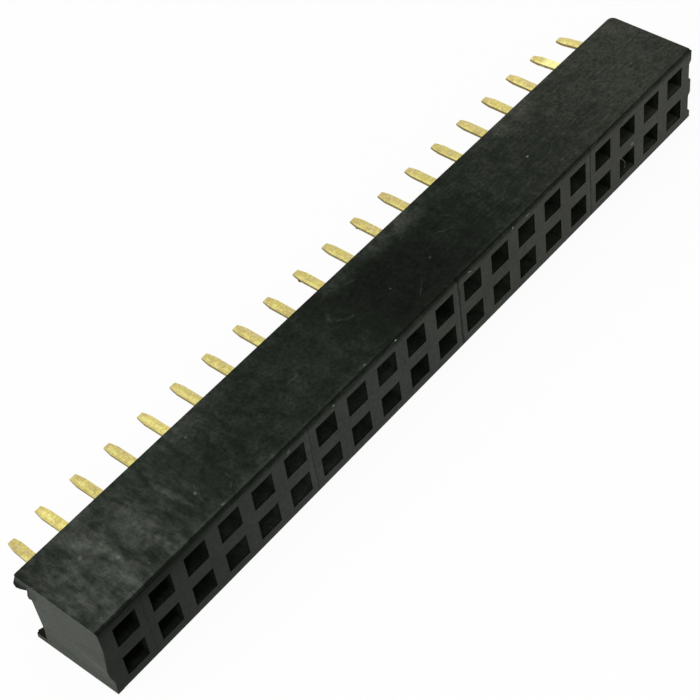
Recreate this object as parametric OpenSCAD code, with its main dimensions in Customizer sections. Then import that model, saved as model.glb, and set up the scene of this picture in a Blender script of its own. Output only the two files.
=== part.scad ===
// Female pin header strip: two rows of square sockets in one moulded housing, with a folded
// twin-leaf contact in every socket. The strip lies on one of its long side walls.
// X runs along the strip, the mating face looks to -Y, the solder tails point to +Y, Z is up.
// The origin is the middle of the side wall that the strip lies on. Lengths are millimetres,
// angles are degrees.

/* [Grid] */
// Distance from way to way along the strip
pitch = 2; // [1.9:0.05:2.3]
// Distance between the two rows
row_pitch = 2; // [1.9:0.05:2.4]
// Ways in each row
ways = 20; // [3:1:24]

/* [Housing] */
// Depth of the housing, from the mating face to the lips that seat on the board
body_depth = 4.72; // [4.4:0.02:6]
// Width and height of each square socket
socket_w = 1.23; // [1.15:0.01:1.35]
// Wall between the sockets and each long side
side_wall = 0.5; // [0.4:0.05:0.8]
// Wall between the first socket and the left end of the strip
left_wall = 0.68; // [0.5:0.02:1]
// Wall between the last socket and the lost way at the right end
right_wall = 0.66; // [0.5:0.02:0.9]
// Depth of the channel between the two lips on the tail side
channel_depth = 0.65; // [0.45:0.05:0.9]
// Thickness of the two lips
lip_t = 0.42; // [0.3:0.02:0.48]

/* [Contact pockets] */
// Width of the pocket that takes a contact's shoulders
pocket_w = 1.56; // [1.5:0.02:1.6]
// Depth of the pocket, from the channel's floor to the ledge that stops the shoulders
pocket_depth = 0.75; // [0.6:0.05:1]

/* [Front edges] */
// Set-back of the upper side wall's front edge at the mould's parting step
step_back = 0.15; // [0.06:0.01:0.25]
// Drop of the step below the upper side wall
step_drop = 0.05; // [0.02:0.01:0.1]
// Chamfer between the step and the mating face
step_chamfer = 0.03; // [0.01:0.01:0.05]
// Chamfer between the mating face and the lower side wall
edge_chamfer = 0.02; // [0.01:0.01:0.05]

/* [Right end] */
// How far the lost way's walls still stand out, at the mating face
stub_len = 0.2; // [0.05:0.01:0.25]
// How much further they stand out at the lips, because the cut runs askew
stub_slant = 0.04; // [0:0.01:0.1]
// Height of what is left of each lost socket, at its floor
lost_floor_h = 0.84; // [0.7:0.02:1]
// Height of what is left of each lost socket, at its mouth
lost_mouth_h = 1.3; // [1.1:0.02:1.4]
// How far the lost sockets sit below the rows
lost_drop = 0.09; // [0:0.01:0.12]
// Radius of the corner on the tail side
tail_corner_r = 0.3; // [0.1:0.05:0.6]
// Radius of the corner on the mating side
mating_corner_r = 0.05; // [0.02:0.01:0.2]

/* [Left end] */
// Radius of the corner on the tail side
left_corner_r = 0.08; // [0.02:0.02:0.3]
// Height of the ridge that the lost way's web left on the end, at the mating face
ridge_h = 0.145; // [0.05:0.005:0.3]
// Length over which the ridge fades out, from the mating face inwards
ridge_run = 2.4; // [1:0.1:3]
// Width of the ridge
ridge_w = 2.2; // [1:0.05:2.4]
// How far the middle of the ridge lies below the middle of the strip
ridge_drop = 0.13; // [0:0.01:0.3]
// Lean of the ridge's crest towards its lower side; 1 leaves it in the middle
ridge_lean = 1.6; // [1:0.1:2]
// How far the end stands out along its lower edge
low_rib_len = 0.11; // [0.04:0.01:0.15]
// Height over which it comes back to the end's plane
low_rib_h = 0.9; // [0.3:0.05:1.2]
// Angle by which it stands out less towards the mating face
low_rib_slant = 0.8; // [0:0.1:1]
// How far the torn lug on the upper lip stands out
lug_len = 0.22; // [0.1:0.01:0.3]
// Length of the torn lug, from the lip's edge inwards
lug_run = 0.75; // [0.3:0.05:1]
// How far the torn nub below it stands out
nub_len = 0.12; // [0.05:0.01:0.2]
// Length of the torn nub, from the channel's floor inwards
nub_run = 0.4; // [0.2:0.05:0.6]
// Height of the torn nub
nub_h = 0.5; // [0.2:0.05:0.8]
// Thickness that the chipped lower lip keeps at the end of the strip
chip_end_t = 0.25; // [0.1:0.01:0.29]
// Thickness that it keeps at the chip's deepest place
chip_t = 0.12; // [0.08:0.01:0.25]
// Distance from the end to the chip's deepest place
chip_at = 0.3; // [0.1:0.05:0.5]
// Length of the chip along the lip
chip_len = 1.5; // [0.6:0.1:3]

/* [Contact] */
// Thickness of the contact's metal
strip_t = 0.15; // [0.12:0.01:0.2]
// Width of the folded cage
cage_w = 0.9; // [0.8:0.02:1]
// Height of the folded cage
cage_h = 1.1; // [1:0.02:1.12]
// Length of the cage in front of the shoulders
cage_len = 0.8; // [0.5:0.05:1]
// Inner radius of the cage's two folds
fold_r = 0.08; // [0.04:0.01:0.12]
// Length of the two spring leaves
leaf_len = 1.6; // [1.2:0.05:1.7]
// Width of a leaf at its root
leaf_root_w = 0.72; // [0.6:0.02:0.78]
// Width of a leaf at its tip
leaf_tip_w = 0.5; // [0.4:0.02:0.58]
// Gap between the leaves where they grip the pin
pinch_gap = 0.36; // [0.3:0.02:0.44]
// Gap between the flared leaf tips
mouth_gap = 0.66; // [0.56:0.02:0.7]
// Length of the flared tips
mouth_len = 0.45; // [0.3:0.05:0.6]
// Length of the shoulders
shoulder_len = 0.42; // [0.3:0.02:0.5]
// Width of the shoulders between their barbs
shoulder_w = 1.36; // [1.2:0.02:1.44]
// Place of the barbs along the shoulders, as a share of their length
barb_at = 0.6; // [0.4:0.05:0.8]
// Gap between a barb and its pocket wall
barb_gap = 0.01; // [0:0.005:0.03]
// Radius that rounds the strip where it is bent
bend_r = 0.25; // [0.15:0.05:0.3]

/* [Solder tails] */
// Width of the solder tails
tail_w = 0.5; // [0.4:0.02:0.6]
// Reach of the upper row's tails beyond the housing's lips
tail_reach = 2.37; // [1.8:0.01:3.2]
// Reach of the lower row's tails beyond the housing's lips
low_tail_reach = 2.18; // [1.8:0.01:3.2]
// Length of the tapered tip
tip_len = 0.5; // [0.2:0.05:0.6]
// Width of the tail's end
tip_w = 0.34; // [0.16:0.02:0.38]
// Thickness of the tail's end
tip_t = 0.1; // [0.06:0.01:0.12]
// How far all the tails lie aside
tail_aside = 0.03; // [-0.05:0.01:0.05]
// How far they wander to either side of that along the strip
tail_wander = 0.11; // [0:0.01:0.15]
// Ways over which the wander comes round again
wander_ways = 26; // [10:1:30]
// Way at which the wander passes through zero
wander_start = 8; // [0:0.5:20]
// Distance from a tail's root to the place where it is bent
bend_at = 0.6; // [0.2:0.05:1]
// Reach that the upper row's two end tails have lost where they were bent
bent_short = 0.14; // [0:0.01:0.3]
// How far the upper row's first tail lies aside
first_aside = 0.02; // [-0.15:0.01:0.15]
// Downward bend of the upper row's first tail
first_droop = 5; // [0:1:12]
// Sideways bend of the upper row's first tail
first_swing = 5; // [0:1:12]
// Downward bend of the upper row's last tail but one
next_last_droop = 5; // [0:1:12]
// Downward bend of the upper row's last tail
last_droop = 9; // [0:1:12]

/* [Hidden] */
eps = 0.01;
cut = 0.5;
body_w = row_pitch + socket_w + 2 * side_wall;
left_end = -(ways - 1) * pitch / 2 - socket_w / 2 - left_wall;
right_end = (ways - 1) * pitch / 2 + socket_w / 2 + right_wall;
floor_y = body_depth - channel_depth;
ledge_y = floor_y - pocket_depth;
cage_y = ledge_y - cage_len;
mouth_y = cage_y - leaf_len;
pinch_y = mouth_y + mouth_len;
shoulder_end = ledge_y + shoulder_len;
tail_root_y = floor_y + strip_t;
plate_z = (cage_h - strip_t) / 2;
pinch_z = (pinch_gap + strip_t) / 2;
mouth_z = (mouth_gap + strip_t) / 2;
barb_w = pocket_w - 2 * barb_gap;
ROWS = ["a", "b"];
HUMP_STEPS = 12;

HOUSING_COLOUR = [0.13, 0.14, 0.13];
CONTACT_COLOUR = [0.80, 0.70, 0.42];

// A contact's node name: its row's letter and its way with two digits
function contact_name(row, way) = str("contact_", row, "_", way < 10 ? "0" : "", way);
// Place of a way along the strip, counted from the left end
function way_x(way) = (way - (ways + 1) / 2) * pitch;
// Height of a row's centre line; row a is the upper one
function row_z(row) = body_w / 2 + (row == "a" ? 1 : -1) * row_pitch / 2;
// Points along an arc
function arc(x, y, r, from, to, steps = 4) =
    [for (i = [0:steps]) let (a = from + (to - from) * i / steps) [x + r * cos(a), y + r * sin(a)]];
// A bend of a centre line at b, rounded to radius r
function rounded(a, b, c, r, steps = 3) =
    let (u = (a - b) / norm(a - b), v = (c - b) / norm(c - b))
    let (half = acos(max(-1, min(1, u * v))) / 2)
    let (start = b + u * r / tan(half), end = b + v * r / tan(half))
    let (hub = b + (u + v) / norm(u + v) * r / sin(half))
    let (from = atan2(start.y - hub.y, start.x - hub.x), to = atan2(end.y - hub.y, end.x - hub.x))
    let (turn = to - from > 180 ? to - from - 360 : to - from < -180 ? to - from + 360 : to - from)
    arc(hub.x, hub.y, r, from, from + turn, steps);
// A centre line with every inner corner rounded
function bent(line, r) = [
    line[0],
    for (i = [1:len(line) - 2]) each rounded(line[i - 1], line[i], line[i + 1], r),
    line[len(line) - 1]
];
// Unit normal of a centre line at point i, lengthened so that both sides stay parallel
function side_step(line, i) =
    let (before = i == 0 ? line[1] - line[0] : line[i] - line[i - 1])
    let (after = i == len(line) - 1 ? before : line[i + 1] - line[i])
    let (u = before / norm(before), v = after / norm(after))
    let (n = [-u.y - v.y, u.x + v.x])
    n / (n * n) * 2;
// Half the breadth of a strip's outline at point i of its centre line: t, and end_t at the last point
function half_t(line, i, t, end_t) = (i < len(line) - 1 ? t : end_t) / 2;
// Outline of a strip that follows a centre line
function strip_outline(line, t, end_t) = concat(
    [for (i = [0:len(line) - 1]) line[i] + side_step(line, i) * half_t(line, i, t, end_t)],
    [for (i = [len(line) - 1:-1:0]) line[i] - side_step(line, i) * half_t(line, i, t, end_t)]
);

// Turns an outline in Y and Z into a bar along X
module along_x(from, to) {
    translate([from, 0, 0]) rotate([90, 0, 90]) linear_extrude(to - from) children();
}
// Turns an outline in X and Z into a bar along Y
module along_y(from, to) {
    translate([0, to, 0]) rotate([90, 0, 0]) linear_extrude(to - from) children();
}

// Cross-section of the housing: mating face at Y 0, parting step, lips and channel
module housing_section() {
    polygon([
        [0, edge_chamfer],
        [edge_chamfer, 0],
        [body_depth, 0],
        [body_depth, lip_t],
        [floor_y, lip_t],
        [floor_y, body_w - lip_t],
        [body_depth, body_w - lip_t],
        [body_depth, body_w],
        [step_back, body_w],
        [step_back, body_w - step_drop],
        [step_chamfer, body_w - step_drop],
        [0, body_w - step_drop - step_chamfer]
    ]);
}

// Outline of the housing seen from above, with its worn corners
module housing_plan() {
    front = right_end + stub_len;
    back = front + stub_slant;
    polygon(concat(
        [[left_end, 0]],
        arc(front - mating_corner_r, mating_corner_r, mating_corner_r, -90, 0),
        arc(back - tail_corner_r, body_depth - tail_corner_r, tail_corner_r, 0, 90),
        arc(left_end + left_corner_r, body_depth - left_corner_r, left_corner_r, 90, 180)
    ));
}

// One socket with the pocket behind it, about its own centre line
module way_cavity() {
    translate([-socket_w / 2, -cut, -socket_w / 2])
        cube([socket_w, floor_y + 2 * cut, socket_w]);
    translate([-pocket_w / 2, ledge_y, -socket_w / 2])
        cube([pocket_w, pocket_depth + cut, socket_w]);
}

// What the lost way's socket leaves open between the stubs at the right end
module lost_socket(row) {
    widening = (lost_mouth_h - lost_floor_h) / 2 / stub_len;
    mouth = lost_mouth_h / 2 + widening * cut;
    along_y(-cut, body_depth + cut) translate([right_end, row_z(row) - lost_drop]) polygon([
        [0, -lost_floor_h / 2],
        [stub_len + cut, -mouth],
        [stub_len + cut, mouth],
        [0, lost_floor_h / 2]
    ]);
}

// Ridge of the lost way's middle web on the left end, fading out towards the tails
module web_ridge() {
    hump = [for (i = [0:HUMP_STEPS]) let (t = i / HUMP_STEPS)
        [-ridge_h * sin(180 * pow(t, ridge_lean)), ridge_w * (1 / 2 - t)]];
    root = [[left_wall / 2, -ridge_w / 2], [left_wall / 2, ridge_w / 2]];
    translate([left_end, 0, body_w / 2 - ridge_drop]) rotate([0, 0, -atan(ridge_h / ridge_run)])
        along_y(-cut, ridge_run) polygon(concat(hump, root));
}

// Remains of the lost way's lower wall along the left end's lower edge
module low_rib() {
    run = body_depth - left_corner_r;
    translate([left_end - low_rib_len, run, 0]) rotate([0, 0, low_rib_slant]) along_y(-run - cut, 0) polygon([
        [0, 0],
        [left_wall / 2, 0],
        [left_wall / 2, low_rib_h],
        [low_rib_len, low_rib_h]
    ]);
}

// A torn bit on the left end: it fades out towards the mating face, and leans out as it goes down
module torn_bit(reach, run, edge_y, low_z, high_z) {
    intersection() {
        linear_extrude(high_z) polygon([
            [left_end + reach, edge_y - run],
            [left_end, edge_y - run],
            [left_end - reach, edge_y - run / 4],
            [left_end - reach * 3 / 4, edge_y],
            [left_end + reach, edge_y]
        ]);
        along_y(edge_y - run, edge_y) translate([left_end, 0]) polygon([
            [reach, low_z],
            [-reach * 3 / 4, low_z],
            [-reach, low_z + reach / 4],
            [0, high_z],
            [reach, high_z]
        ]);
    }
}

// What is chipped off the lower lip at the left end
module lip_chip() {
    along_y(floor_y, body_depth + cut) translate([left_end, 0]) polygon([
        [-cut, chip_end_t],
        [0, chip_end_t],
        [chip_at, chip_t],
        [chip_len, lip_t],
        [chip_len, lip_t + cut],
        [-cut, lip_t + cut]
    ]);
}

// What stays within the housing's three plain sides
module body_space() {
    translate([left_end - cut, 0, 0]) cube([right_end - left_end + 2 * cut, body_depth, body_w]);
}

module housing() {
    lug_edge = body_depth - left_corner_r;
    color(HOUSING_COLOUR) translate([0, -body_depth / 2, 0]) difference() {
        union() {
            intersection() {
                along_x(left_end, right_end + stub_len + stub_slant) housing_section();
                linear_extrude(body_w) housing_plan();
            }
            intersection() {
                union() {
                    web_ridge();
                    low_rib();
                    torn_bit(lug_len, lug_run, lug_edge, body_w - lip_t, body_w);
                    torn_bit(nub_len, nub_run, floor_y, body_w - lip_t - nub_h, body_w - lip_t);
                }
                body_space();
            }
        }
        lip_chip();
        for (row = ROWS) {
            lost_socket(row);
            for (way = [1:ways]) translate([way_x(way), 0, row_z(row)]) way_cavity();
        }
    }
}

// Folded cage: two plates joined by a side plate, seen from the mating face
module cage_section() {
    x = cage_w / 2;
    z = cage_h / 2;
    r = fold_r + strip_t;
    polygon(concat(
        [[-x, -z]],
        arc(x - r, -z + r, r, -90, 0),
        arc(x - r, z - r, r, 0, 90),
        [[-x, z], [-x, z - strip_t]],
        arc(x - r, z - r, fold_r, 90, 0),
        arc(x - r, -z + r, fold_r, 0, -90),
        [[-x, -z + strip_t]]
    ));
}

// One spring leaf: stamped outline seen from above, formed line seen from the side.
// It springs from the cage's upper plate.
module leaf() {
    formed = [[mouth_y, mouth_z], [pinch_y, pinch_z], [cage_y, plate_z], [cage_y + bend_r, plate_z]];
    line = bent(formed, bend_r);
    intersection() {
        along_x(-cage_w / 2, cage_w / 2) polygon(strip_outline(line, strip_t, strip_t));
        linear_extrude(cage_h) polygon([
            [-leaf_tip_w / 2, mouth_y - cut],
            [leaf_tip_w / 2, mouth_y - cut],
            [leaf_tip_w / 2, pinch_y],
            [leaf_root_w / 2 - fold_r, cage_y],
            [leaf_root_w / 2 - fold_r, cage_y + cut],
            [-leaf_root_w / 2, cage_y + cut],
            [-leaf_root_w / 2, cage_y],
            [-leaf_tip_w / 2, pinch_y]
        ]);
    }
}

// Right half of the blank behind the cage, from the ledge to the tail; the tail lies aside by shift
function half_blank(shift) = [
    [cage_w / 2 - fold_r - strip_t, ledge_y - cut],
    [cage_w / 2 - fold_r - strip_t, ledge_y],
    [shoulder_w / 2, ledge_y],
    [barb_w / 2, ledge_y + shoulder_len * barb_at],
    [shoulder_w / 2, ledge_y + shoulder_len * barb_at],
    [shoulder_w / 2, shoulder_end],
    [tail_w / 2 + shift, shoulder_end + strip_t],
    [tail_w / 2 + shift, tail_root_y + cut]
];
function reversed(list) = [for (i = [len(list) - 1:-1:0]) list[i]];

// Shoulders with two barbs, and the joggle that brings the strip back to the row's centre line
module shoulders(shift) {
    start = ledge_y - eps;
    line = bent([[start, plate_z], [shoulder_end, plate_z], [floor_y, 0], [tail_root_y, 0]], strip_t);
    left_half = [for (p = reversed(half_blank(-shift))) [-p.x, p.y]];
    intersection() {
        along_x(-pocket_w / 2, pocket_w / 2) polygon(strip_outline(line, strip_t, strip_t));
        translate([0, 0, -cage_h / 2]) linear_extrude(cage_h) polygon(concat(half_blank(shift), left_half));
    }
}

// Centre line of a tail from its root; it turns by angle on radius r and has a point where its tip begins
function tail_line(reach, angle, r, tip) =
    let (corner = [bend_at, 0], arm = reach - bend_at, along = [cos(angle), -sin(angle)])
    let (start = [-eps, 0], neck = corner + along * (arm - tip))
    concat(angle == 0 ? [start, neck] : bent([start, corner, neck], r), [corner + along * arm]);

// A solder tail along +Y with a tapered, coined tip, bent down by droop and aside by swing
module tail(reach, droop, swing) {
    side = strip_outline(tail_line(reach, droop, bend_r, tip_len / 2), strip_t, tip_t);
    plan = strip_outline(tail_line(reach, swing, bend_r + tail_w / 2, tip_len), tail_w, tip_w);
    intersection() {
        along_x(-reach, reach) polygon(side);
        translate([0, 0, -reach]) linear_extrude(2 * reach) polygon([for (p = plan) [-p.y, p.x]]);
    }
}

// Bends of the upper row's tails, by way
function droop_of(row, way) =
    row != "a" ? 0 :
    way == 1 ? first_droop :
    way == ways ? last_droop :
    way == ways - 1 ? next_last_droop : 0;
function swing_of(row, way) = row == "a" && way == 1 ? first_swing : 0;
// How far a tail lies aside
function aside_of(row, way) =
    row == "a" && way == 1 ? first_aside :
    tail_aside + tail_wander * sin(360 * (way - wander_start) / wander_ways);
// Reach of a tail from its root
function reach_of(row, way) =
    body_depth - tail_root_y + (row == "a" ? tail_reach : low_tail_reach) -
    (row == "a" && (way == 1 || way == ways) ? bent_short : 0);

// One stamped and folded contact. Row b's contacts are turned half round in their pockets.
module contact(row, way) {
    turn = row == "a" ? 0 : 180;
    shift = aside_of(row, way);
    color(CONTACT_COLOUR) translate([way_x(way), -body_depth / 2, row_z(row)]) {
        rotate([0, turn, 0]) {
            along_y(cage_y, ledge_y) cage_section();
            leaf();
            mirror([0, 0, 1]) leaf();
            shoulders(row == "a" ? shift : -shift);
        }
        translate([shift, tail_root_y, 0])
            tail(reach_of(row, way), droop_of(row, way), swing_of(row, way));
    }
}

housing();
for (row = ROWS, way = [1:ways])
    contact(row, way);
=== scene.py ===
"""Looks of the female pin header strip: its plastic, metal, wear and dust, and the floor, lamp and camera."""
import math
import random

import bmesh
import bpy
from mathutils import Euler, Matrix, Vector


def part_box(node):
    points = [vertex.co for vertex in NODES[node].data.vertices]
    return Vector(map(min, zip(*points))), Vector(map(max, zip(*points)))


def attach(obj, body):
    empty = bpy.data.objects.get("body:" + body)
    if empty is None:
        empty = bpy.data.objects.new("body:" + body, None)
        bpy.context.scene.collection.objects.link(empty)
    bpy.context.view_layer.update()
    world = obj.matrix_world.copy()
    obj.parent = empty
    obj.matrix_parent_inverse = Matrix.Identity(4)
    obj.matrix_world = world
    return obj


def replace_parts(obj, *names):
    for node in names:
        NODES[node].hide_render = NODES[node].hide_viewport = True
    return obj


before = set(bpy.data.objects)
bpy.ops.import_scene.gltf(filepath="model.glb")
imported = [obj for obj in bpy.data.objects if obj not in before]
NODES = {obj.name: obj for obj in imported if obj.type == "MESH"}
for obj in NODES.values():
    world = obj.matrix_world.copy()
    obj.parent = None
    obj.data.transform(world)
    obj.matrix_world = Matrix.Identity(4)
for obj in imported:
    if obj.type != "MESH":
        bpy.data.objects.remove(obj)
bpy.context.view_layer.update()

MM = 0.001

# ---------------------------------------------------------------- places from the frame, in millimetres

HOUSING_LOW, HOUSING_HIGH = (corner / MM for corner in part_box("housing"))
MATING_Y = HOUSING_LOW.y
LIP_Y = HOUSING_HIGH.y
TOP_Z = HOUSING_HIGH.z
MID_Z = TOP_Z / 2
CONTACTS = sorted(name for name in NODES if name.startswith("contact_"))
WAYS = len(CONTACTS) // 2


def way_centre(row, way):
    """Middle of a contact's box, which is where its socket is."""
    low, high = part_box(f"contact_{row}_{way:02d}")
    return (low + high) / 2 / MM


FIRST_X = way_centre("b", 1).x
PITCH = (way_centre("b", WAYS).x - FIRST_X) / (WAYS - 1)

# ---------------------------------------------------------------- sizes in millimetres, angles in degrees

STEP_BACK = 0.15            # width of the parting step along the top's mating edge
STEP_DROP = 0.05            # how far the step's ledge lies below the top
TIP_LEN = 0.5               # a solder tail's tapered tip
HOUSING_ROUNDING = 0.025    # on the housing's edges, as a mould leaves them
CONTACT_ROUNDING = 0.014    # on the contacts' edges, from tumbling
MERGE_DISTANCE = 0.001      # between points of the housing's mesh that are the same point
WELD_DISTANCE = 0.0005      # and of a contact's mesh
FLAT_ANGLE = 0.5            # faces of the housing that turn less than this are one face
SHARP_ANGLE = 20            # edges of the housing that turn more than this are rounded
PLATED_ANGLE = 50           # and edges of a contact
FLAKE_HALF = 0.035          # half of a flake's thickness
FLAKE_SUNK = 0.01           # how far inside the mating face a flake's middle lies
LINT_RADIUS = 0.014
LINT_STEP = 0.13            # length of each of the lint fibre's short steps
LINT_STEPS = 8
LINT_STRAIGHT = 3           # the first steps, which don't curl
LINT_CURL = 14              # at each step after them

# upper tails with a burr: way, and the burr's size
BURRED_TAILS = {9: 0.05, 10: 0.08, 12: 0.07, 16: 0.05}

# flakes of flash: place along the strip, depth below the top, length, and turn in degrees
FLAKES = (
    (-6.40, 0.17, 0.16, 0),
    (-2.20, 0.05, 0.14, 0),
    (2.85, 0.18, 0.38, 26),
    (6.00, 0.13, 0.20, -40),
    (7.12, 0.21, 0.30, -6))

# ---------------------------------------------------------------- camera, lamp and floor

CAMERA_AIM = (-2.46, 0.327, MID_Z)      # millimetres
CAMERA_AZIMUTH = -42.98                 # degrees
CAMERA_ELEVATION = 48.042
CAMERA_ROLL = 9.414
CAMERA_DISTANCE = 79.029                # millimetres
LENS = 92.52                            # millimetres
SENSOR_WIDTH = 36                       # millimetres
LIGHT_LEVEL = 0.55                      # of the lamp, and of the world around it
FLOOR_REACH = 3.0                       # metres from the floor's middle to each side


# ---------------------------------------------------------------- shader arithmetic

class Wire:
    """A value or vector on its way through a node tree. Arithmetic on it adds Math nodes."""

    def __init__(self, nodes, socket):
        self.nodes = nodes
        self.socket = socket

    def maths(self, operation, *others):
        return self.nodes.node("ShaderNodeMath", {"operation": operation}, dict(enumerate((self,) + others)))

    def __add__(self, other):
        return self.maths("ADD", other)

    def __sub__(self, other):
        return self.maths("SUBTRACT", other)

    def __mul__(self, other):
        return self.maths("MULTIPLY", other)

    def __rsub__(self, other):
        return self.nodes.node("ShaderNodeMath", {"operation": "SUBTRACT"}, {0: other, 1: self})

    __radd__ = __add__
    __rmul__ = __mul__

    def __abs__(self):
        return self.maths("ABSOLUTE")

    def over(self, other):
        """The larger of the two."""
        return self.maths("MAXIMUM", other)

    def wave(self, length, start):
        """A wave from -1 to 1 that repeats each length; its crests lie at start and on from there."""
        return ((self - start) * (2 * math.pi / length)).maths("COSINE")

    def rise(self, low, high, least=0.0, most=1.0):
        """least below low and most above high, with a soft step between."""
        settings = {"interpolation_type": "SMOOTHSTEP"}
        values = {"Value": self, "From Min": low, "From Max": high, "To Min": least, "To Max": most}
        return self.nodes.node("ShaderNodeMapRange", settings, values)

    def fall(self, low, high):
        """1 below low and 0 above high."""
        return self.rise(low, high, 1.0, 0.0)

    def band(self, middle, half, soft):
        """1 within half of middle, fading out over soft."""
        return abs(self - middle).fall(half, half + soft)


def most(*wires):
    """The largest of several masks."""
    largest = wires[0]
    for wire in wires[1:]:
        largest = largest.over(wire)
    return largest


def rgba(red, green, blue):
    return (red, green, blue, 1.0)


WHITE = rgba(1, 1, 1)


class Nodes:
    """A node tree that is built from expressions."""

    def __init__(self, tree):
        self.tree = tree
        tree.nodes.clear()

    def node(self, kind, settings, values, output=0):
        """Adds a node: its settings first, then values or wires for its inputs. Gives one of its outputs."""
        made = self.tree.nodes.new(kind)
        for key, setting in settings.items():
            setattr(made, key, setting)
        for key, value in values.items():
            if isinstance(value, Wire):
                self.tree.links.new(value.socket, made.inputs[key])
            else:
                made.inputs[key].default_value = value
        return Wire(self, made.outputs[output]) if len(made.outputs) else None

    def seen_along(self, *rays):
        """1 along these kinds of ray and 0 along all others."""
        return most(*(self.node("ShaderNodeLightPath", {}, {}, ray) for ray in rays))


class Finish(Nodes):
    """One procedural material, with its coordinates in millimetres. The finishes below call theirs f."""

    def __init__(self, name):
        self.material = bpy.data.materials.new(name)
        self.material.use_nodes = True
        super().__init__(self.material.node_tree)
        place = self.node("ShaderNodeTexCoord", {}, {}, "Object")
        self.place = self.vector("SCALE", place, Scale=1 / MM)
        self.x, self.y, self.z = self.split(self.place)
        facing = self.node("ShaderNodeTexCoord", {}, {}, "Normal")
        self.facing_x, self.facing_y, self.facing_z = self.split(facing)

    def vector(self, operation, *wires, **named):
        """Vector arithmetic. It gives a vector, or a number where the operation is LENGTH."""
        output = 1 if operation == "LENGTH" else 0
        values = dict(enumerate(wires))
        values.update(named)
        return self.node("ShaderNodeVectorMath", {"operation": operation}, values, output)

    def split(self, wire):
        parts = self.node("ShaderNodeSeparateXYZ", {}, {0: wire})
        return [Wire(self, output) for output in parts.socket.node.outputs]

    def join(self, x, y, z=0.0):
        return self.node("ShaderNodeCombineXYZ", {}, {0: x, 1: y, 2: z})

    def noise(self, scale, detail=2.0, roughness=0.5, stretch=(1, 1, 1), shift=0.0):
        """Cloudy noise, scale per millimetre, from about 0 to 1."""
        place = self.vector("MULTIPLY_ADD", self.place, stretch, (shift, shift * 2, -shift))
        values = {"Vector": place, "Scale": scale, "Detail": detail, "Roughness": roughness}
        return self.node("ShaderNodeTexNoise", {"noise_dimensions": "3D"}, values)

    def spot(self, place, middle, length, width, turn=0.0):
        """1 in the middle of an oval and 0 at its edge, on a flat place: half length, half width, degrees."""
        values = {"Vector": place, "Location": (*middle, 0), "Rotation": (0, 0, math.radians(turn)),
                  "Scale": (length, width, 1)}
        local = self.node("ShaderNodeMapping", {"vector_type": "TEXTURE"}, values)
        return self.vector("LENGTH", local).fall(0.25, 1.0)

    def streak(self, place, start, end, width):
        """A thin streak from start to end, as a long narrow oval that reaches a little past both."""
        along = Vector(end) - Vector(start)
        middle = (Vector(end) + Vector(start)) / 2
        turn = math.degrees(math.atan2(along.y, along.x))
        return self.spot(place, middle, along.length * 0.62, width, turn)

    def mix(self, share, first, second):
        """Colour that goes from first to second as share goes from 0 to 1."""
        return self.node("ShaderNodeMix", {"data_type": "RGBA"}, {0: share, 6: first, 7: second}, 2)

    def blend(self, share, first, second):
        """Number that goes from first to second as share goes from 0 to 1."""
        return self.node("ShaderNodeMix", {"data_type": "FLOAT"}, {0: share, 2: first, 3: second})

    def bump(self, height, depth, under=None):
        """Normal from a height from 0 to 1, depth in millimetres, over another normal if there is one."""
        values = {"Height": height, "Distance": depth * MM, "Strength": 1.0}
        if under is not None:
            values["Normal"] = under
        return self.node("ShaderNodeBump", {}, values)

    def surface(self, values, specular=0.5):
        """The finished material, from what its Principled shader's sockets get."""
        shader = self.node("ShaderNodeBsdfPrincipled", {}, {**values, "Specular IOR Level": specular})
        self.node("ShaderNodeOutputMaterial", {}, {"Surface": shader})
        return self.material


# ---------------------------------------------------------------- housing plastic

class HousingFinish(Finish):
    """The housing's plastic, with the places, regions and noises that its parts share."""

    def __init__(self):
        super().__init__("housing_plastic")
        # distances from the mating face and the top, and masks of the top side, mating face and left end
        left_x = HOUSING_LOW.x
        self.depth = self.y - MATING_Y
        self.below_top = TOP_Z - self.z
        self.on_top = self.facing_z.rise(0.5, 0.8) * self.below_top.fall(0.15, 0.2)
        self.on_front = (0 - self.facing_y).rise(0.5, 0.8)
        self.on_left = (0 - self.facing_x).rise(0.4, 0.8) * self.x.fall(left_x + 0.5, left_x + 0.6)

        # noises, from fine to wide; near the left end the grain and the patches stretch across the strip
        near_left = self.x.fall(-15, -10)
        across_grain = self.noise(6, 3, 0.65, (1, 0.36, 1), 12)
        across_patches = self.noise(2.4, 3, 0.6, (1, 0.45, 1), 14)
        self.fine = self.noise(16, 1)
        self.pebble = self.noise(9, 2, 0.6, shift=2)
        self.grain = self.blend(near_left, self.noise(5, 3, 0.7), across_grain)
        self.blots = self.noise(3.2, 3, 0.65, shift=4)
        self.patches = self.blend(near_left, self.noise(1.5, 4, 0.68, (1, 0.55, 1), 7), across_patches)
        self.cloud = self.noise(0.55, 3, 0.55)
        self.scuffs = abs(self.noise(0.9, 3, shift=9) - 0.5).fall(0.0, 0.010) * self.blots.rise(0.5, 0.62)

        # the flat place on the top side, a little wobbly so that marks have uneven edges
        self.wobble = (self.noise(2.5, 3, shift=3) - 0.5) * 0.3
        self.top = self.join(self.x + self.wobble, self.depth + self.wobble)


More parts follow.
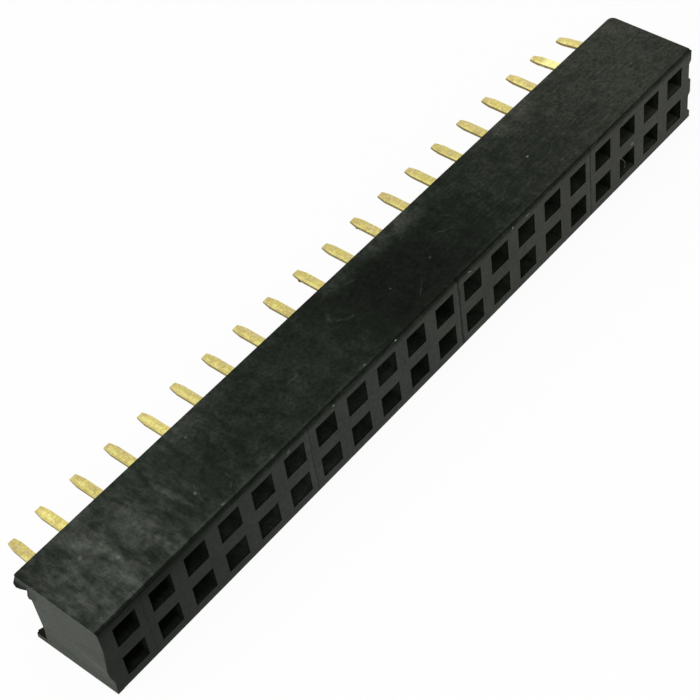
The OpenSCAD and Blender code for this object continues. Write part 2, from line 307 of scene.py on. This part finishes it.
def top_marks(f):
    """Rubbed and dusty marks of the top side: smudges near its left end, streaks and specks.

    The renderer has room for few more: with three more they still render, with eight the plastic is black.
    """
    top = f.top
    smudges = most(
        f.spot(top, (-17.6, 0.8), 0.6, 0.5),
        f.spot(top, (-17.3, 1.9), 0.4, 0.45),
        f.spot(top, (-17.5, 3.55), 0.7, 0.5, -20),
        f.spot(top, (-17.3, 2.7), 0.4, 0.4),
        f.spot(top, (-15.7, 1.0), 0.35, 0.75, 15),
        f.spot(top, (-15.2, 2.1), 0.4, 0.55, 20),
        f.spot(top, (-17.35, 1.1), 0.4, 0.45) * 1.4,
        f.spot(top, (-15.75, 3.7), 0.45, 0.45) * 1.2,
        f.spot(top, (-13.82, 3.15), 0.22, 0.50) * 1.4,
        f.streak(top, (-13.88, 3.3), (-13.68, 1.25), 0.20) * 1.5)
    streaks = most(
        f.streak(top, (-12.90, 1.95), (-13.05, 1.50), 0.09),
        f.streak(top, (-13.05, 1.50), (-13.32, 0.92), 0.08),
        f.streak(top, (-6.9, 2.2), (-6.1, 2.25), 0.08),
        f.streak(top, (-12.25, 0.46), (-11.80, 0.80), 0.07),
        f.streak(top, (-11.76, 0.80), (-11.70, 1.35), 0.07),
        f.streak(top, (-3.0, 3.0), (-2.7, 3.55), 0.15),
        f.streak(top, (-2.88, 2.98), (-2.50, 2.62), 0.07),
        f.streak(top, (-2.54, 2.63), (-2.02, 2.40), 0.07),
        f.streak(top, (-1.08, 4.07), (-0.34, 3.74), 0.09) * 0.6,
        f.streak(top, (0.3, 0.73), (1.4, 1.47), 0.05),
        f.streak(top, (3.55, 2.72), (4.56, 2.12), 0.05),
        f.streak(top, (5.3, 2.17), (4.6, 3.46), 0.07) * 0.6,
        f.streak(top, (6.3, 2.35), (6.9, 2.17), 0.06),
        f.streak(top, (10.60, 3.55), (10.66, 4.05), 0.07),
        f.streak(top, (10.62, 4.05), (10.40, 4.5), 0.07),
        f.streak(top, (12.25, 1.65), (12.5, 1.75), 0.05))
    specks = most(
        f.spot(top, (-17.25, 1.89), 0.14, 0.12),
        f.spot(top, (-13.18, 1.52), 0.10, 0.10),
        f.spot(top, (-16.7, 0.69), 0.09, 0.07),
        f.spot(top, (-11.28, 3.88), 0.10, 0.07),
        f.spot(top, (2.43, 1.86), 0.09, 0.07),
        f.spot(top, (0.0, 2.15), 0.07, 0.06),
        f.spot(top, (18.1, 1.9), 0.09, 0.09) * 0.8,
        f.spot(top, (-12.92, 0.24), 0.16, 0.07),
        f.spot(top, (-18.15, 3.13), 0.11, 0.12) * 0.7,
        f.spot(top, (-4.08, 0.22), 0.10, 0.08),
        f.spot(top, (-15.72, 1.20), 0.15, 0.18) * 0.5,
        f.spot(top, (-15.58, 0.68), 0.12, 0.14) * 0.4,
        f.spot(top, (10.10, 2.19), 0.10, 0.09) * 3)
    return smudges * 0.020 + streaks * 0.018 + specks * 0.065


def top_dust_and_sheen(f):
    """Lightness of the top side: dust, scuffs and marks on black plastic, with painted sheen towards both
    ends, darkest in the middle.
    """
    # dust and painted sheen, thick near the left end, less of it at the very end and along both long edges
    left_dust_and_sheen = f.x.fall(-19.7, -10.9) * f.x.rise(-20.5, -18.2, 0.5, 1.0)
    left_dust_and_sheen = left_dust_and_sheen * f.depth.band(2.3, 0.8, 1.5).rise(0, 1, 0.72, 1.06)
    dust_and_sheen = 0.0045 + f.x.fall(-5, 0) * 0.012 + left_dust_and_sheen * 0.035
    # more dust and painted sheen towards the right end
    dust_and_sheen = dust_and_sheen + f.x.rise(1, 10) * 0.015 + f.x.rise(9, 19) * 0.017

    # wide pale drifts along the tail side
    dust_and_sheen = dust_and_sheen + f.spot(f.top, (2.8, 4.8), 3.4, 1.5) * 0.030
    drifts = most(
        f.spot(f.top, (-10.5, 4.6), 2.8, 1.3),
        f.spot(f.top, (11.5, 4.6), 3.8, 1.2),
        f.spot(f.top, (-0.8, 4.6), 2.0, 1.0) * 0.9)
    dust_and_sheen = dust_and_sheen + drifts * 0.018

    # paler stretches along the mating edge, and a darker one at the right end
    edge = f.x.band(-11.5, 1.2, 1.2) * 0.010 + f.x.band(2, 8, 3) * 0.002
    dust_and_sheen = dust_and_sheen + f.depth.fall(0.3, 0.8) * edge + f.depth.band(0.35, 0.08, 0.10) * f.x.fall(-17, -14) * 0.008
    dust_and_sheen = dust_and_sheen * (1 - f.x.rise(15, 19) * f.depth.fall(0.3, 1.2) * 0.14)

    # cloudy, less so left of the middle and towards the right, and at the left in rows one pitch apart
    clouds = f.cloud.rise(0.3, 0.7, 0.80, 1.20) * f.patches.rise(0.3, 0.7, 0.56, 1.46)
    clouds = clouds * f.blots.rise(0.3, 0.7, 0.82, 1.18)
    clouds = f.blend(f.x.rise(4, 12, 0.0, 0.42).over(f.x.band(-5, 4, 3) * 0.25), clouds, 1.0)
    rows = f.x.wave(PITCH, FIRST_X + 1.4) * left_dust_and_sheen * 0.18 + 1

    # fine dashes along the strip, stronger towards the right
    dashes = f.noise(8, 2, 0.6, (0.13, 1, 1)).rise(0.46, 0.72) * f.x.rise(0, 14, 0.002, 0.015)
    dashes = dashes + (f.noise(13, 2, 0.6, (0.3, 1, 1), 5) - 0.5) * f.x.rise(2, 12) * 0.022
    dust_and_sheen = dust_and_sheen * clouds * rows + dashes + f.scuffs * 0.008

    # two stretches of the top's edge, just behind the step, that are rubbed pale
    rubbed = f.x.fall(-6, -3) * 0.008 + f.x.band(6.5, 3.5, 1.5) * 0.006
    dust_and_sheen = dust_and_sheen + f.depth.band(0.24, 0.03, 0.06) * rubbed

    dust_and_sheen = dust_and_sheen + top_marks(f) * f.patches.rise(0.3, 0.7, 0.6, 1.4)
    soft_grain = 1 + (f.grain - 0.5) * f.x.rise(-17, -9, 0.75, 1.8)
    return (dust_and_sheen * soft_grain + (f.grain - 0.5) * 0.010).over(0.001)


def insert_lines(f):
    """Where the mould's inserts met on the mating face: wandering dark lines, most with a pale ridge."""
    place = f.x + (f.noise(2.2, 2) - 0.5) * 0.22
    lines = most(
        place.band(-8.03, 0.01, 0.05) * 0.5,
        place.band(2.04, 0.03, 0.06),
        place.band(11.98, 0.015, 0.045) * 0.9,
        place.band(-18.0, 0.01, 0.05) * 0.45)
    ridges = most(
        place.band(-8.20, 0.02, 0.06),
        place.band(1.85, 0.03, 0.06),
        place.band(11.83, 0.02, 0.06))
    return lines, ridges


def front_nicks(f):
    """A few pale nicks in the mating face."""
    front = f.join(f.x, f.z)
    return most(
        f.spot(front, (-9.28, MID_Z + 1.84), 0.12, 0.16),
        f.spot(front, (15.41, MID_Z - 0.13), 0.16, 0.12) * 2.5,
        f.spot(front, (7.35, MID_Z + 1.98), 0.08, 0.06) * 1.5,
        f.streak(front, (14.25, MID_Z - 0.1), (14.76, MID_Z - 0.75), 0.05))


def mating_face(f):
    """Lightness of the mating face, lightness of the step's ledge, and a broken painted shadow line below the
    ledge.
    """
    lines, ridges = insert_lines(f)
    nicks = front_nicks(f)

    # lighter towards the right
    face = f.x.rise(-21, -5, 0.0185, 0.0425) + f.x.rise(0, 17) * 0.012
    face = face * f.cloud.rise(0.3, 0.7, 0.9, 1.1) * f.blots.rise(0.3, 0.7, 0.92, 1.08)
    face = face * (1 - lines * 0.8) * f.grain.rise(0.25, 0.75, 0.72, 1.28)
    ledge = face * f.x.rise(-18, -8, 0.46, 0.52)

    # painted shade near the left end's top, and along the top edge in a band with an uneven lower side; in
    # that band a broken painted shadow line below the ledge
    face = face * (1 - f.below_top.fall(0.3, 1.4) * f.x.fall(-17, -13) * 0.32)
    brow = f.below_top + (f.noise(1.5, 3, 0.6, shift=5) - 0.5) * 0.34
    out_of_shade = f.blend(f.x.fall(-16, -12), brow.rise(0.08, 0.34), brow.rise(0.10, 0.60))
    face = face * f.blend(out_of_shade, f.x.rise(-18, -10, 0.30, 0.46), 1.0)
    ledge_shadow_line = brow.band(0.10, 0.012, 0.045) * f.blots.rise(0.40, 0.55) * f.on_front

    # a slightly paler lowest edge, except at the right
    low_edge = f.z.fall(0.08, 0.35) * f.x.fall(2, 12) * 0.005
    face = face + nicks * 0.05 + ridges * 0.008 + low_edge
    return face, ledge, ledge_shadow_line


def parting_step(f, on_ledge):
    """Dark ragged lines: painted shade along the riser where the ledge meets the top, weaker at the left, and
    a seam.
    """
    jag = (f.noise(3.5, 3, 0.7, shift=6) - 0.5) * 0.10
    seam = (f.depth + f.wobble * 0.15 - jag).band(0.05, 0.006, 0.035)
    seam = seam * f.noise(1.3, 3, shift=5).rise(0.40, 0.55) * on_ledge
    # painted shade along the riser where the ledge meets the top
    riser_shade = (f.depth + jag).band(0.115, 0.012, 0.04) * f.on_top
    riser_shade = riser_shade * f.noise(1.8, 2, shift=2).rise(0.3, 0.6, 0.5, 1.0)
    riser_shade = riser_shade * f.x.rise(-18, -12, 0.62, 1.0)
    return riser_shade, seam


def snapped_end(f):
    """Even grey of the left end, where the strip was snapped off, and where its lip ends are darker."""
    end = f.cloud.rise(0.3, 0.7, 0.96, 1.04) * f.grain.rise(0.25, 0.75, 0.86, 1.14) * 0.063
    upper_lip = f.below_top.fall(0.8, 1.05) * f.below_top.rise(0.08, 0.25, 0.2, 1.0)
    dark_lip_ends = most(f.z.fall(0.5, 0.7) * 0.35, upper_lip)
    dark_lip_ends = dark_lip_ends * f.x.fall(-20.28, -20.20) * f.depth.rise(3.95, 4.05)
    return end, dark_lip_ends


def socket_walls(f):
    """Factor on the lightness inside the sockets, lighter in some than in others, with painted shade deep
    inside.
    """
    inside = f.depth.rise(0.02, 0.12) * f.below_top.rise(0.2, 0.35) * f.z.rise(0.2, 0.35)
    inside = inside * abs(f.x).fall(20.15, 20.25)
    wall_tone_and_shade = 0.5 + f.x.rise(-17, -12) * 2.9 - f.x.rise(-3, 1) * 1.9
    wall_tone_and_shade = wall_tone_and_shade + f.x.rise(1, 5) * 1.3 - f.x.rise(8, 15) * 1.6
    # never darker than the plastic at the mouth, palest 1.3 to 2 mm in, and darker than it beyond 3 mm as
    # painted shade
    wall_tone_and_shade = (wall_tone_and_shade * f.depth.rise(0.0, 1.3, 0.5, 1.3)).over(f.depth.fall(0.2, 0.6))
    wall_tone_and_shade = f.blend(f.depth.rise(2, 3), wall_tone_and_shade, 0.75)
    return 1 + inside * (wall_tone_and_shade - 1)


def other_faces(f):
    """Near black with scuffs, and rubbed paler along the outer edges."""
    edges = most(f.below_top.fall(0.0, 0.10), f.z.fall(0.0, 0.10), (LIP_Y - f.y).fall(0.0, 0.08))
    worn = edges * f.blots.rise(0.42, 0.6)
    plain = f.cloud.rise(0.3, 0.7, 0.008, 0.015) * f.grain.rise(0.25, 0.75, 0.7, 1.3)
    return plain + f.scuffs * 0.012 + worn * 0.010


def plastic_tint(f, light):
    """Green-black where the plastic is dark, and greenish grey with faint brown patches where it is pale."""
    pale = f.mix(f.x.rise(-4, 10), rgba(0.87, 1.0, 0.83), rgba(0.93, 1.0, 0.78))
    pale = f.mix(f.noise(1.9, 3, 0.6, shift=8).rise(0.45, 0.7) * 0.4, pale, rgba(1.02, 0.94, 0.86))
    return f.mix(light.rise(0.0, 0.045), rgba(0.70, 1.0, 0.62), pale)


def housing_plastic():
    """Black moulded plastic: dusty and rubbed top with painted sheen, mating face with insert lines, grey
    snapped left end; painted shade along the step and deep in the sockets, and painted light on some socket
    walls.
    """
    f = HousingFinish()
    dust_and_sheen = top_dust_and_sheen(f)
    face, ledge, ledge_shadow_line = mating_face(f)
    end, dark_lip_ends = snapped_end(f)
    on_ledge = f.depth.fall(0.10, 0.14)
    riser_shade, seam = parting_step(f, on_ledge)
    walls = socket_walls(f)

    light = f.blend(f.on_top, other_faces(f), f.blend(on_ledge, dust_and_sheen, ledge))
    light = f.blend(f.on_front, light, face)
    light = f.blend(f.on_left, light, end)
    # painted light on the sockets' lower walls, which face up, towards the right end
    painted_sill_light = f.facing_z.rise(0.5, 0.8) * f.below_top.rise(0.3, 0.4) * f.x.rise(9, 19) * f.depth.fall(0.3, 1.5)
    light = light + painted_sill_light * 0.030
    light = light * (1 - riser_shade * 0.70) * (1 - seam * 0.66) * (1 - ledge_shadow_line * 0.4) * (1 - dark_lip_ends * 0.85)
    light = light * walls
    light = light * f.fine.rise(0.2, 0.8, 0.86, 1.14) * f.pebble.rise(0.25, 0.75, 0.86, 1.14)
    colour = f.vector("SCALE", plastic_tint(f, light), Scale=light)

    normal = f.bump(f.grain, 0.015)
    normal = f.bump(f.fine, 0.004, normal)
    rough = f.grain.rise(0.2, 0.8, 0.45, 0.65)
    return f.surface({"Base Color": colour, "Roughness": rough, "Normal": normal}, 0.05)


# ---------------------------------------------------------------- contact metal

def contact_metal():
    """Thin gold plating on stamped strip: mottled, burnished along the tails with painted highlights and
    shade, brown on the sheared edges.
    """
    f = Finish("contact_metal")
    grain = f.noise(9, 3, 0.65)
    cloud = f.noise(2.6, 3, 0.6)
    fine = f.noise(30, 2)
    reach = f.y - LIP_Y
    gold = rgba(0.615, 0.53, 0.15)
    pale = rgba(0.82, 0.755, 0.285)
    bright = rgba(0.98, 0.92, 0.42)
    brightest = rgba(1.0, 0.94, 0.40)
    # dull: the gold in painted shade, for the duller lane
    dull = rgba(0.64, 0.53, 0.29)
    pink = rgba(0.515, 0.40, 0.19)
    brown = rgba(0.20, 0.145, 0.055)

    # mottled all over, with a lighter lane of burnish and painted highlight and a duller lane of painted
    # shade along each tail
    burnish_and_highlight_lane = f.x.wave(PITCH, FIRST_X - 0.10).rise(0.90, 1.0)
    painted_shade_lane = f.x.wave(PITCH, FIRST_X + 0.20).rise(0.92, 1.0)
    colour = f.mix(cloud.rise(0.40, 0.68) * 0.55, gold, pink)
    colour = f.mix(grain.rise(0.45, 0.75) * 0.4, colour, pale)
    colour = f.mix(burnish_and_highlight_lane * cloud.fall(0.45, 0.6) * 0.7, colour, pale)
    colour = f.mix(painted_shade_lane * cloud.rise(0.35, 0.55) * 0.5, colour, dull)

    # burnished by the lips, with painted glints there and a large painted glint on the last tail but one;
    # pinker at the tips
    glint = burnish_and_highlight_lane * reach.band(0.30, 0.10, 0.25) * cloud.rise(0.34, 0.46)
    colour = f.mix(glint, colour, bright)
    big_painted_glint = f.x.band(17.0, 0.30, 0.15) * reach.band(0.9, 0.45, 0.5) * cloud.rise(0.3, 0.5)
    colour = f.mix(big_painted_glint * 0.8, colour, brightest)
    colour = f.mix(reach.rise(1.85, 2.3) * 0.35, colour, pink)

    # lighter towards the right end, and on the second and fifth ways
    tone = grain.rise(0.25, 0.75, 0.84, 1.16) * f.x.rise(8, 18, 1.0, 1.16)
    tone = tone * (1 + f.x.band(-17, 0.6, 0.4) * 0.14) * (1 + f.x.band(-11, 0.6, 0.4) * 0.10)
    colour = f.vector("SCALE", colour, Scale=tone)

    # brown where the strip was sheared, and inside the housing
    sheared = abs(f.facing_x).over(f.facing_y).rise(0.5, 0.9)
    colour = f.mix(sheared * grain.rise(0.3, 0.6, 0.65, 1.0), colour, brown)
    colour = f.mix(reach.fall(-0.9, -0.3) * 0.8, colour, brown)

    normal = f.bump(cloud, 0.03)
    normal = f.bump(grain, 0.015, normal)
    rough = fine.rise(0.2, 0.8, 0.28, 0.48)
    return f.surface({"Base Color": colour, "Metallic": 1.0, "Roughness": rough, "Normal": normal})


def burr_metal():
    """Torn strip edge: dark brown, dull and uneven."""
    f = Finish("burr_metal")
    grain = f.noise(20, 2, 0.6)
    colour = f.mix(grain.rise(0.35, 0.7), rgba(0.05, 0.035, 0.015), rgba(0.30, 0.22, 0.08))
    rough = grain.rise(0.2, 0.8, 0.4, 0.7)
    normal = f.bump(grain, 0.01)
    return f.surface({"Base Color": colour, "Metallic": 1.0, "Roughness": rough, "Normal": normal})


def pale_debris(name, low, high):
    """Stressed plastic or lint, uneven and whitish, with colours from low to high."""
    f = Finish(name)
    grain = f.noise(12, 2, 0.6)
    colour = f.mix(grain.rise(0.3, 0.7), low, high)
    rough = grain.rise(0.2, 0.8, 0.5, 0.8)
    normal = f.bump(grain, 0.008)
    return f.surface({"Base Color": colour, "Roughness": rough, "Normal": normal}, 0.3)


# ---------------------------------------------------------------- mesh helpers

def object_from(bm, name, material):
    """A new object in the scene from a bmesh, which is freed."""
    mesh = bpy.data.meshes.new(name)
    bm.to_mesh(mesh)
    bm.free()
    mesh.materials.append(material)
    made = bpy.data.objects.new(name, mesh)
    bpy.context.scene.collection.objects.link(made)
    return made


def add_piece(bm, name, material):
    """A new piece of the strip with this material, attached to the strip's root."""
    piece = object_from(bm, name, material)
    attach(piece, "root")
    return piece


def sharp_edges(bm, degrees):
    """Edges between two faces that meet at more than this angle."""
    limit = math.radians(degrees)
    return [edge for edge in bm.edges if len(edge.link_faces) == 2 and edge.calc_face_angle(0) > limit]


def rough_bit(bm, middle, half_size, turn, dice):
    """A small lump with an uneven skin, in millimetres, with its turn in degrees about X, Y and Z."""
    angles = Vector([math.radians(angle) for angle in turn])
    place = Matrix.LocRotScale(Vector(middle) * MM, Euler(angles), Vector(half_size) * MM)
    verts = bmesh.ops.create_icosphere(bm, subdivisions=2, radius=1.0)["verts"]
    for vert in verts:
        vert.co *= dice.uniform(0.72, 1.0)
    bmesh.ops.transform(bm, matrix=place, verts=verts)


# ---------------------------------------------------------------- housing and contacts

def moulded_housing(material):
    """The housing with the small radii that a mould leaves on its edges."""
    bm = bmesh.new()
    bm.from_mesh(NODES["housing"].data)
    bmesh.ops.remove_doubles(bm, verts=bm.verts, dist=MERGE_DISTANCE * MM)
    bmesh.ops.dissolve_limit(bm, angle_limit=math.radians(FLAT_ANGLE), verts=bm.verts, edges=bm.edges,
                             delimit=set())
    bmesh.ops.bevel(bm, geom=sharp_edges(bm, SHARP_ANGLE), offset=HOUSING_ROUNDING * MM, offset_type="OFFSET",
                    segments=2, profile=0.5, affect="EDGES", clamp_overlap=True, material=-1)
    bmesh.ops.triangulate(bm, faces=[face for face in bm.faces if len(face.verts) > 4])
    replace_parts(add_piece(bm, "moulded_housing", material), "housing")


def plated_contact(contact, material):
    """A stamped contact with its plating, and edges slightly rounded by tumbling before it."""
    contact.data.materials.clear()
    contact.data.materials.append(material)
    weld = contact.modifiers.new("weld", "WELD")
    weld.merge_threshold = WELD_DISTANCE * MM
    bevel = contact.modifiers.new("rounded", "BEVEL")
    bevel.width = CONTACT_ROUNDING * MM
    bevel.segments = 2
    bevel.limit_method = "ANGLE"
    bevel.angle_limit = math.radians(PLATED_ANGLE)


# ---------------------------------------------------------------- burrs, flash and lint

def tail_edge(way):
    """Least x, end's y and middle z of an upper tail's part that is over 1 mm beyond the lip."""
    mesh = NODES[f"contact_a_{way:02d}"].data
    beyond = [vert.co / MM for vert in mesh.vertices if vert.co.y / MM > LIP_Y + 1.0]
    left = min(corner.x for corner in beyond)
    end = max(corner.y for corner in beyond)
    heights = [corner.z for corner in beyond]
    return left, end, (min(heights) + max(heights)) / 2


def shear_burrs(material):
    """Small burrs that shearing left on the lower left edge of some tails, where the tip begins."""
    dice = random.Random(11)
    for way, size in BURRED_TAILS.items():
        left, end, z = tail_edge(way)
        tip = end - TIP_LEN
        bm = bmesh.new()
        hook = (left + 0.02, tip + 0.04, z - size * 0.8)
        rough_bit(bm, hook, (size * 0.7, size * 1.2, size), (20, 0, 15), dice)
        root = (left + 0.03, tip - 0.10, z - size * 0.5)
        rough_bit(bm, root, (size * 0.5, size, size * 0.6), (0, 25, 0), dice)
        add_piece(bm, f"shear_burr_{way:02d}", material)


def flash_flakes(material):
    """Pale flakes of flash, on the parting step's ledge and on the mating face just below it."""
    dice = random.Random(4)
    for index, (x, drop, length, turn) in enumerate(FLAKES):
        bm = bmesh.new()
        y = MATING_Y + (FLAKE_SUNK if drop > STEP_DROP else STEP_BACK * 0.45)
        rough_bit(bm, (x, y, TOP_Z - drop), (length / 2, FLAKE_HALF, FLAKE_HALF), (0, turn, 0), dice)
        add_piece(bm, f"flash_flake_{index + 1}", material)


def lint_fibre(material):
    """A short curled fibre across the mouth of a lower socket near the right end."""
    bm = bmesh.new()
    start = Vector((14.44, MATING_Y + LINT_RADIUS, MID_Z - 0.30))
    ring = bmesh.ops.create_circle(bm, segments=8, radius=LINT_RADIUS, cap_ends=True,
                                   matrix=Matrix.Translation(start))["verts"]
    faces = list(bm.faces)
    heading = Vector((0.62, 0.0, -0.78))
    tilt = Vector((0, 0, 1)).rotation_difference(heading).to_matrix()
    bmesh.ops.rotate(bm, verts=ring, cent=start, matrix=tilt)
    for step in range(LINT_STEPS):
        made = bmesh.ops.extrude_face_region(bm, geom=faces)["geom"]
        bmesh.ops.delete(bm, geom=faces, context="FACES_ONLY")
        faces = [item for item in made if isinstance(item, bmesh.types.BMFace)]
        ring = [item for item in made if isinstance(item, bmesh.types.BMVert)]
        bmesh.ops.translate(bm, verts=ring, vec=heading * LINT_STEP)
        middle = sum((vert.co for vert in ring), Vector()) / len(ring)
        curl = math.radians(LINT_CURL) if step >= LINT_STRAIGHT else 0.0
        swing = Matrix.Rotation(curl, 3, "Y")
        bmesh.ops.rotate(bm, verts=ring, cent=middle, matrix=swing)
        heading = swing @ heading
    bmesh.ops.recalc_face_normals(bm, faces=bm.faces)
    bmesh.ops.scale(bm, verts=bm.verts, vec=(MM, MM, MM))
    add_piece(bm, "lint_fibre", material)


# ---------------------------------------------------------------- floor, world, lamp and camera

def pale_floor():
    """Matt white floor that stays white to the eye and keeps a soft part of the shadow."""
    f = Finish("pale_floor")
    seen = f.seen_along("Is Camera Ray", "Is Glossy Ray")
    matt = f.node("ShaderNodeBsdfDiffuse", {}, {"Color": f.mix(seen, rgba(0.8, 0.8, 0.8), WHITE)})
    glow = f.node("ShaderNodeEmission", {}, {"Color": WHITE, "Strength": 1.0})
    shown = f.node("ShaderNodeMixShader", {}, {0: seen * 0.92, 1: matt, 2: glow})
    f.node("ShaderNodeOutputMaterial", {}, {"Surface": shown})
    bm = bmesh.new()
    bmesh.ops.create_grid(bm, x_segments=1, y_segments=1, size=FLOOR_REACH)
    object_from(bm, "floor", f.material)


def soft_world(level):
    """White to the eye, in reflections and through glass, and this level as a light on the strip."""
    world = bpy.data.worlds.new("soft_world")
    bpy.context.scene.world = world
    world.use_nodes = True
    sky = Nodes(world.node_tree)
    seen = sky.seen_along("Is Camera Ray", "Is Glossy Ray", "Is Transmission Ray")
    strength = sky.node("ShaderNodeMapRange", {}, {"Value": seen, "To Min": level, "To Max": 1.0})
    background = sky.node("ShaderNodeBackground", {}, {"Color": WHITE, "Strength": strength})
    sky.node("ShaderNodeOutputWorld", {}, {"Surface": background})


def bearing(azimuth, elevation):
    """Unit vector out from the strip, for angles in degrees; azimuth 0 is in front of its mating face."""
    around = math.radians(azimuth)
    up = math.radians(elevation)
    return Vector((math.sin(around) * math.cos(up), -math.cos(around) * math.cos(up), math.sin(up)))


def stand(held, place, turn):
    """Puts a lamp or the camera in the scene, at a place in metres and turned by a quaternion."""
    held.location = place
    held.rotation_mode = "QUATERNION"
    held.rotation_quaternion = turn
    bpy.context.scene.collection.objects.link(held)


def soft_lamp(name, azimuth, elevation, distance, size, level):
    """Square lamp aimed at the strip. Its level is what a white card facing it would show."""
    data = bpy.data.lights.new(name, "AREA")
    data.shape = "SQUARE"
    data.size = size
    data.energy = level * math.pi * math.pi * distance ** 2
    out = bearing(azimuth, elevation)
    stand(bpy.data.objects.new(name, data), out * distance, (-out).to_track_quat("-Z", "Y"))


def set_camera():
    """Close camera, looking down on the strip from its mating side and left end."""
    data = bpy.data.cameras.new("camera")
    data.sensor_width = SENSOR_WIDTH
    data.lens = LENS
    data.clip_start = 1 * MM
    data.clip_end = 10
    out = bearing(CAMERA_AZIMUTH, CAMERA_ELEVATION)
    level = (-out).to_track_quat("-Z", "Y")
    roll = Matrix.Rotation(-math.radians(CAMERA_ROLL), 4, "Z").to_quaternion()
    camera = bpy.data.objects.new("camera", data)
    stand(camera, Vector(CAMERA_AIM) * MM + out * CAMERA_DISTANCE * MM, level @ roll)
    bpy.context.scene.camera = camera


# ---------------------------------------------------------------- the strip

moulded_housing(housing_plastic())
plating = contact_metal()
for name in CONTACTS:
    plated_contact(NODES[name], plating)

shear_burrs(burr_metal())
flash_flakes(pale_debris("pale_flash", rgba(0.06, 0.07, 0.05), rgba(0.34, 0.38, 0.29)))
lint_fibre(pale_debris("lint", rgba(0.03, 0.035, 0.022), rgba(0.11, 0.12, 0.08)))

pale_floor()
soft_world(LIGHT_LEVEL)
soft_lamp("key_lamp", azimuth=-75, elevation=50, distance=0.25, size=0.2, level=LIGHT_LEVEL)
set_camera()
bpy.context.scene.view_settings.view_transform = "Standard"
